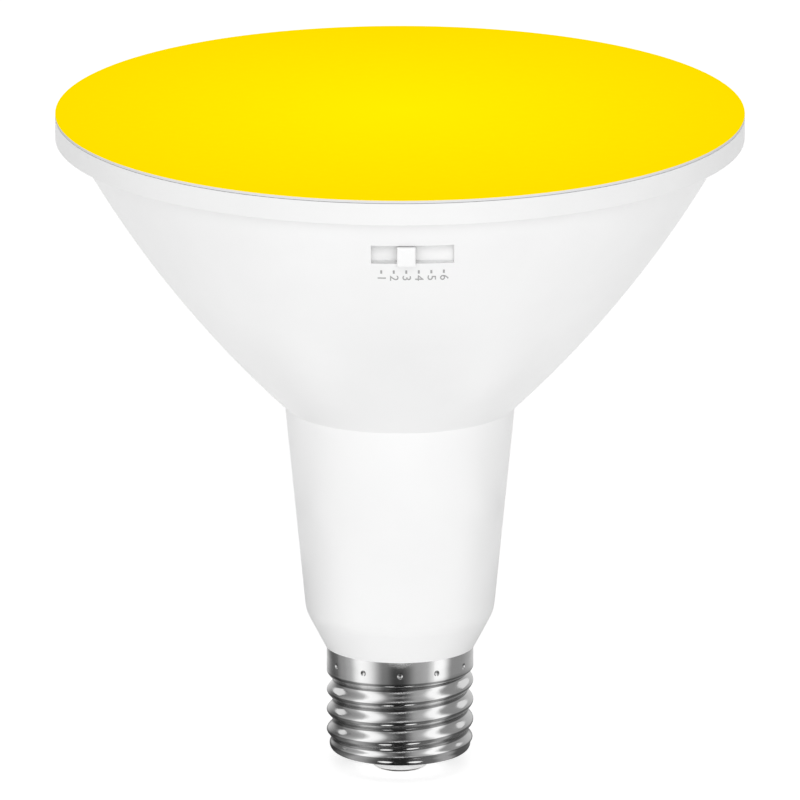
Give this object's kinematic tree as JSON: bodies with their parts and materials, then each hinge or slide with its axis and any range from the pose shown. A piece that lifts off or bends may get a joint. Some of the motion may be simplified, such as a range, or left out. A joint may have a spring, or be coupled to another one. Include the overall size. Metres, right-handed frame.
{
  "type": "reflector spotlight bulb",
  "caption": "White reflector lamp with a flat yellow front lens, a small slide knob in its cone that picks the light colour, and a nickel screw base.",
  "frame": {"origin": "tip of the centre contact at the end of the screw base, on the lamp's axis", "axes": "+Z along the lamp's axis from the screw base to the front lens, -Y towards the side with the slide knob, +X to the right as seen from that side"},
  "size_m": [0.122, 0.122, 0.1205],
  "materials": {
    "housing_white": "moulded white plastic with a soft satin sheen",
    "lens_yellow": "diffusing lens lit yellow from behind",
    "silicone": "translucent white silicone",
    "reflector_white": "bright white moulded plastic",
    "light_board": "white solder mask on aluminium",
    "screw_steel": "zinc plated",
    "sink_aluminium": "bare pressed aluminium",
    "nickel_shell": "bright nickel plate on rolled sheet",
    "base_glass": "pale moulded insulator",
    "contact_brass": "nickel-plated brass eyelet",
    "switch_grey": "pale moulded plastic",
    "switch_base_plastic": "brown phenolic",
    "terminal_brass": "plated contact metal",
    "board_green": "green circuit board",
    "header_black": "black moulded plastic",
    "can_sleeve": "shrink sleeve on an aluminium can",
    "ferrite": "sintered ferrite",
    "copper_wire": "enamelled copper",
    "film_box": "yellow moulded box",
    "varistor_blue": "dipped epoxy",
    "chip_black": "black moulded package",
    "resistor_green": "coated resistor",
    "wire_black": "insulated wire",
    "wire_white": "insulated wire",
    "wire_red": "insulated wire",
    "knob_white": "white moulded knob",
    "led_cool_white": "phosphor package",
    "led_warm_white": "phosphor package",
    "led_red": "tinted package",
    "led_green": "tinted package",
    "led_blue": "tinted package",
    "led_yellow": "tinted package"
  },
  "bodies": {
    "lamp": {"housing": "housing_white", "lens": "lens_yellow", "lens_gasket": "silicone", "reflector_ring": "reflector_white", "led_board": "light_board", "led_board_screws": "screw_steel", "heat_sink": "sink_aluminium", "screw_shell": "nickel_shell", "base_insulator": "base_glass", "centre_contact": "contact_brass", "switch_case": "switch_grey", "switch_base": "switch_base_plastic", "switch_terminals": "terminal_brass", "switch_board": "board_green", "switch_header": "header_black", "switch_header_pins": "terminal_brass", "driver_board": "board_green", "input_capacitor": "can_sleeve", "output_capacitor": "can_sleeve", "inductor_core": "ferrite", "inductor_winding": "copper_wire", "film_capacitor": "film_box", "varistor": "varistor_blue", "bridge_rectifier": "chip_black", "driver_chip": "chip_black", "fusible_resistor": "resistor_green", "line_wire": "wire_black", "neutral_wire": "wire_white", "led_wire_positive": "wire_red", "led_wire_negative": "wire_black", "leds_cool_white": "led_cool_white", "leds_warm_white": "led_warm_white", "leds_red": "led_red", "leds_green": "led_green", "leds_blue": "led_blue", "leds_yellow": "led_yellow"},
    "selector": {"switch_slider": "switch_grey", "switch_wiper": "terminal_brass", "switch_knob": "knob_white"}
  },
  "joints": [
    {"name": "switch_slide", "type": "slide", "parent": "lamp", "child": "selector", "axis": [1, 0, 0], "range_m": [-0.0044, 0.0066]}
  ]
}
